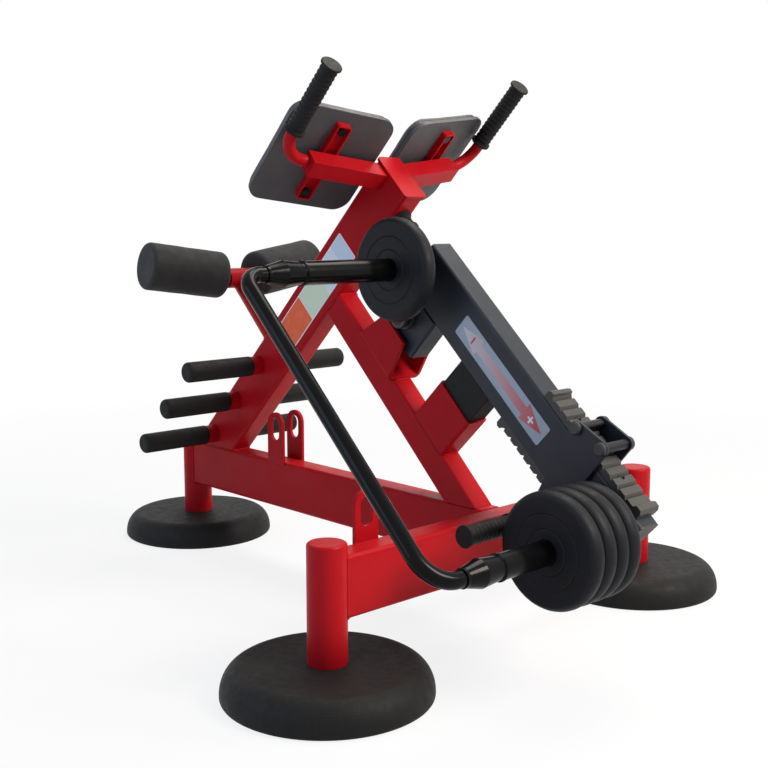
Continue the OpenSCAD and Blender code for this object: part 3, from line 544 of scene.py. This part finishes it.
def foam_roller(name, side, body):
    """A turned foam roller, closed at its outer end, with round edges and slight hand-marks."""
    marks_from = Vector((side * DENT_SHIFT, 0, 0))
    rings = []
    for radius, height in roller_profile():
        ring = []
        for i in range(ROLLER_TURNS):
            angle = 2 * math.pi * i / ROLLER_TURNS
            outward = Vector((math.cos(angle), math.sin(angle), 0))
            at = Vector((radius * math.cos(angle), radius * math.sin(angle), ROLLER_FROM + height))
            dent = DENT * noise.noise(at * DENT_SCALE + marks_from)
            ring.append(at + outward * (dent - DENT))
        rings.append(ring)
    made = add_object(name, loft(rings))
    made.data.transform(axle_frame(side))
    dress(made, LOOKS["roller_foam"], body)
    return made


for side, word in SIDES:
    roller = foam_roller("soft_roller_" + word, side, "roller_" + word)
    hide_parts("roller_foam_" + word)


# Weld beads where tubes meet
BEAD_R = 0.0028
BEAD_STEP = 0.0032
BEAD_RIPPLE = 0.16
BEAD_UNEVEN = 0.08
BEAD_SIDES = 8
FOOT_INSET = 0.004
SIDE_INSET = 0.002
BEAM_INSET = 0.006
ARM_WELD_R = 0.0258
ARM_WELD_STEPS = 28


def bead(name, points, closed=True):
    """A rippled bead along a path in the part's frame."""
    path = [Vector(p) for p in points]
    if closed:
        path.append(path[0])
    stations = []
    for a, b in zip(path, path[1:]):
        count = max(1, round((b - a).length / BEAD_STEP))
        stations += [a.lerp(b, i / count) for i in range(count)]
    if not closed:
        stations.append(path[-1])
    angles = [2 * math.pi * k / BEAD_SIDES for k in range(BEAD_SIDES)]
    rings = []
    total = len(stations)
    for i, at in enumerate(stations):
        ahead = stations[(i + 1) % total] if closed else stations[min(i + 1, total - 1)]
        behind = stations[i - 1] if closed else stations[max(i - 1, 0)]
        along = (ahead - behind).normalized()
        side_way = along.orthogonal().normalized()
        other = along.cross(side_way)
        ripple = BEAD_RIPPLE * math.cos(i * math.pi)
        size = BEAD_R * (1.0 + ripple + random.uniform(-BEAD_UNEVEN, BEAD_UNEVEN))
        rings.append([at + (side_way * math.cos(t) + other * math.sin(t)) * size for t in angles])
    if closed:
        rings.append(rings[0])
    made = add_object(name, loft(rings, closed_ends=not closed))
    dress(made, LOOKS["red_paint"], "frame")


def in_column(points):
    return [column_frame @ Vector(p) for p in points]


def strut_weld():
    root = rectangle(STRUT_AT - STRUT_HALF, STRUT_AT + STRUT_HALF, -TUBE_HALF, TUBE_HALF, TUBE_R)
    bead("weld_strut_top", in_column([(p.x, p.y, -COLUMN_HALF) for p in root]))


def column_foot_weld():
    reach = COLUMN_HALF / math.sin(COLUMN_ANGLE)
    across = TUBE_HALF - SIDE_INSET
    root = rectangle(-reach + FOOT_INSET, reach, -across, across, TUBE_R)
    bead("weld_column_foot", [(column_foot.x + p.x, p.y, beam_top) for p in root])


def post_weld(word, x, y, turn):
    """A bead round a beam's end, wrapped on its round post."""
    loop = []
    for p in rectangle(-TUBE_HALF, TUBE_HALF, beam_low, beam_top, TUBE_R):
        out = math.sqrt(POST_R ** 2 - p.x ** 2)
        loop.append((x + out * math.cos(turn) - p.x * math.sin(turn),
                     y + out * math.sin(turn) + p.x * math.cos(turn), p.y))
    bead("weld_post_" + word, loop)


def beams_weld():
    root = rectangle(-TUBE_HALF, TUBE_HALF, beam_low + BEAM_INSET, beam_top - BEAM_INSET, TUBE_R)
    bead("weld_beams", [(front_x - TUBE_HALF, p.x, p.y) for p in root])


def roller_arm_weld():
    points = []
    for i in range(ARM_WELD_STEPS):
        angle = 2 * math.pi * i / ARM_WELD_STEPS
        points.append((ROLLER_AT + ARM_WELD_R * math.cos(angle), ARM_WELD_R * math.sin(angle), COLUMN_HALF))
    bead("weld_roller_arm", in_column(points))


def bracket_welds(word, centre, length):
    """Two straight beads across the strut's flat face, at the ends of a bracket on it."""
    strut_face = STRUT_AT + STRUT_HALF
    flat_half = TUBE_HALF - TUBE_R
    for sign in (-1, 1):
        end = centre + sign * length / 2
        across = [(strut_face, -flat_half, end), (strut_face, flat_half, end)]
        bead("weld_%s_%d" % (word, sign + 1), in_column(across), closed=False)


strut_weld()
column_foot_weld()
post_weld("back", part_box("post_back")[0].x + POST_R, 0.0, 0.0)
post_weld("right", front_x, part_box("post_right")[0].y + POST_R, math.pi / 2)
post_weld("left", front_x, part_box("post_left")[0].y + POST_R, -math.pi / 2)
beams_weld()
roller_arm_weld()
bracket_welds("pivot", PIVOT_OFF_COLUMN, PIVOT_BRACKET_LEN)
bracket_welds("stop", STOP_OFF_COLUMN, STOP_BRACKET_LEN)


# Printed film: plain blocks on the column, and an arrow with its signs on the lever
FILM = 0.00035
SECOND_LAYER = 1.8 * FILM
THIRD_LAYER = 2.6 * FILM
TOP_LAYER = 2.9 * FILM
SHEET_CORNER = 0.004
BLOCK_CORNER = 0.003
SIGN_CORNER = 0.0008
WHITE_FILM = label("film_white", (0.88, 0.89, 0.90))
PALE_FILM = label("film_pale", (0.74, 0.80, 0.80))
GREEN_FILM = label("film_pale_green", (0.72, 0.78, 0.56))
ORANGE_FILM = label("film_orange", (0.86, 0.10, 0.012))
BAND_FILM = label("film_band", (0.62, 0.70, 0.78))
GREY_FILM = label("film_grey", (0.36, 0.41, 0.48))
RED_FILM = label("film_red", (0.50, 0.02, 0.03))


def film_shape(name, points, look, lift, place, body):
    """A flat film on the near face: points are (along, across) in the given frame."""
    rings = []
    for depth in (0.0, lift):
        rings.append([place @ Vector((p[0], -TUBE_HALF - depth, p[1])) for p in points])
    made = add_object(name, loft(rings))
    dress(made, look, body, smooth=False)


def column_film(name, points, look, lift):
    film_shape(name, points, look, lift, column_frame, "frame")


def lever_film(name, points, look, lift):
    film_shape(name, points, look, lift, lever_frame, "lever")


def add_column_films():
    low, high = 0.461, 0.777
    left, right = -0.040, 0.038
    rim = 0.0025
    sheet = rectangle(low, high, left, right, SHEET_CORNER)
    column_film("film_column", sheet, WHITE_FILM, FILM)
    line = 0.002
    orange_end = low + 0.098
    green_end = low + 0.190
    band_from = high - 0.048
    blocks = (("orange", ORANGE_FILM, low + rim, orange_end),
              ("green", GREEN_FILM, orange_end + line, green_end),
              ("pale", PALE_FILM, green_end + line, band_from - line),
              ("band", BAND_FILM, band_from, high - rim))
    for word, look, start, end in blocks:
        block = rectangle(start, end, left + rim, right - rim, BLOCK_CORNER)
        column_film("film_column_" + word, block, look, SECOND_LAYER)


def arrow_points(low_tip, high_tip, head_len, head_half, shaft_half):
    """The outline of a double-headed arrow along the first axis."""
    low_head = low_tip + head_len
    high_head = high_tip - head_len
    return [(low_tip, 0), (low_head, -head_half), (low_head, -shaft_half),
            (high_head, -shaft_half), (high_head, -head_half), (high_tip, 0),
            (high_head, head_half), (high_head, shaft_half),
            (low_head, shaft_half), (low_head, head_half)]


def add_lever_films():
    low, high = 0.117, 0.427
    middle = 0.1075
    half = 0.0255
    tip_gap = 0.008
    low_tip, high_tip = low + tip_gap, high - tip_gap
    head_len = 0.062
    sign_reach = 0.009
    sign_half = 0.0022
    fade_from = (lever_frame @ Vector((low, 0, middle))).x
    fade_to = (lever_frame @ Vector((high, 0, middle))).x
    fade_film = label("film_fade", (0.62, 0.62, 0.64), (0.52, 0.012, 0.018), fade_from, fade_to)
    sheet = rectangle(low, high, middle - half, middle + half, SHEET_CORNER)
    lever_film("film_lever", sheet, GREY_FILM, FILM)
    arrow = arrow_points(low_tip, high_tip, head_len, head_half=0.022, shaft_half=0.0105)
    lever_film("film_arrow", [(a, middle + b) for a, b in arrow], fade_film, SECOND_LAYER)

    def bar(at, along, across):
        return rectangle(at - along, at + along, middle - across, middle + across, SIGN_CORNER)

    plus_at = high_tip - 0.62 * head_len
    minus_at = low_tip + 0.66 * head_len
    lever_film("film_plus_0", bar(plus_at, sign_reach, sign_half), WHITE_FILM, THIRD_LAYER)
    lever_film("film_plus_1", bar(plus_at, sign_half, sign_reach), WHITE_FILM, TOP_LAYER)
    lever_film("film_minus", bar(minus_at, sign_half, sign_reach), RED_FILM, THIRD_LAYER)


add_column_films()
add_lever_films()


# Stage, camera and light
FLOOR_HALF = 60.0
CAMERA_AT = Vector((2.0124, -1.7962, 0.8663))
CAMERA_TURN = (math.radians(81.987), 0.0, math.radians(46.79))
CAMERA_LENS = 54.04
SENSOR_WIDTH = 36.0
LAMPS_AIM = Vector((0.1, 0.0, 0.5))
WARM = (1.0, 0.92, 0.82)
WARM_TOP = (1.0, 0.92, 0.84)
COOL = (0.46, 0.67, 1.0)


def backdrop_look():
    """White to the camera and to reflections, pale to the light, with the shadow kept faint."""
    look = Look("floor")
    patches = look.fit(look.noise(scale=0.6, detail=3.0), 0.3, 0.7)
    look.finish(look.mix(patches, (0.80, 0.80, 0.80, 1.0), (0.84, 0.84, 0.84, 1.0)), 0.9)
    path = look.node("ShaderNodeLightPath")
    seen = look.math("MAXIMUM", path.outputs["Is Camera Ray"], path.outputs["Is Glossy Ray"])
    seen = look.math("MAXIMUM", seen, path.outputs["Is Transmission Ray"])
    away = look.node("ShaderNodeVectorMath", operation="LENGTH")
    look.link(look.place, away.inputs[0])
    glow_share = look.fit(away.outputs["Value"], 1.0, 3.2, 0.84, 1.0)
    glow = look.node("ShaderNodeEmission")
    blend = look.node("ShaderNodeMixShader")
    look.link(look.math("MULTIPLY", seen, glow_share), blend.inputs[0])
    look.link(look.shader.outputs[0], blend.inputs[1])
    look.link(glow.outputs[0], blend.inputs[2])
    look.link(blend.outputs[0], look.tree.nodes["Material Output"].inputs["Surface"])
    return look.material


def add_floor():
    mesh = bpy.data.meshes.new("floor")
    corners = [(sx * FLOOR_HALF, sy * FLOOR_HALF, 0) for sx, sy in ((-1, -1), (1, -1), (1, 1), (-1, 1))]
    mesh.from_pydata(corners, [], [(0, 1, 2, 3)])
    mesh.materials.append(backdrop_look())
    add_object("floor", mesh)


def add_world():
    """White to the camera and to reflections, and a faint cool fill to the light."""
    world = bpy.data.worlds.new("studio")
    bpy.context.scene.world = world
    world.use_nodes = True
    tree = world.node_tree
    tree.nodes.clear()
    path = tree.nodes.new("ShaderNodeLightPath")
    seen = path.outputs["Is Camera Ray"]
    for ray in ("Is Transmission Ray", "Is Glossy Ray"):
        either = tree.nodes.new("ShaderNodeMath")
        either.operation = "MAXIMUM"
        tree.links.new(seen, either.inputs[0])
        tree.links.new(path.outputs[ray], either.inputs[1])
        seen = either.outputs[0]
    fill = tree.nodes.new("ShaderNodeBackground")
    fill.inputs["Color"].default_value = (0.66, 0.79, 1.0, 1.0)
    fill.inputs["Strength"].default_value = 0.30
    white = tree.nodes.new("ShaderNodeBackground")
    white.inputs["Color"].default_value = (1.0, 1.0, 1.0, 1.0)
    blend = tree.nodes.new("ShaderNodeMixShader")
    output = tree.nodes.new("ShaderNodeOutputWorld")
    tree.links.new(seen, blend.inputs[0])
    tree.links.new(fill.outputs[0], blend.inputs[1])
    tree.links.new(white.outputs[0], blend.inputs[2])
    tree.links.new(blend.outputs[0], output.inputs[0])


def add_camera():
    lens = bpy.data.cameras.new("camera")
    lens.lens = CAMERA_LENS
    lens.sensor_width = SENSOR_WIDTH
    camera = add_object("camera", lens)
    camera.location = CAMERA_AT
    camera.rotation_euler = CAMERA_TURN
    bpy.context.scene.camera = camera


def add_lamp(name, right, up, near, size, power, colour):
    """An area lamp placed by the camera's own directions, aimed at the machine."""
    turn = Matrix.Rotation(CAMERA_TURN[2], 3, "Z")
    lamp = bpy.data.lights.new(name, "AREA")
    lamp.shape = "RECTANGLE"
    lamp.size = size
    lamp.size_y = size
    lamp.energy = power
    lamp.color = colour
    offset = turn @ Vector((right, -near, 0)) + Vector((0, 0, up))
    made = add_object(name, lamp)
    made.location = LAMPS_AIM + offset
    made.rotation_euler = (LAMPS_AIM - made.location).to_track_quat("-Z", "Y").to_euler()


add_floor()
add_world()
add_camera()
add_lamp("key", right=2.7, up=2.1, near=1.4, size=1.3, power=138.0, colour=WARM)
add_lamp("fill", right=-3.2, up=1.2, near=2.0, size=2.0, power=40.0, colour=COOL)
add_lamp("top", right=0.9, up=3.2, near=-1.0, size=1.8, power=75.0, colour=WARM_TOP)
bpy.context.scene.view_settings.view_transform = "Standard"
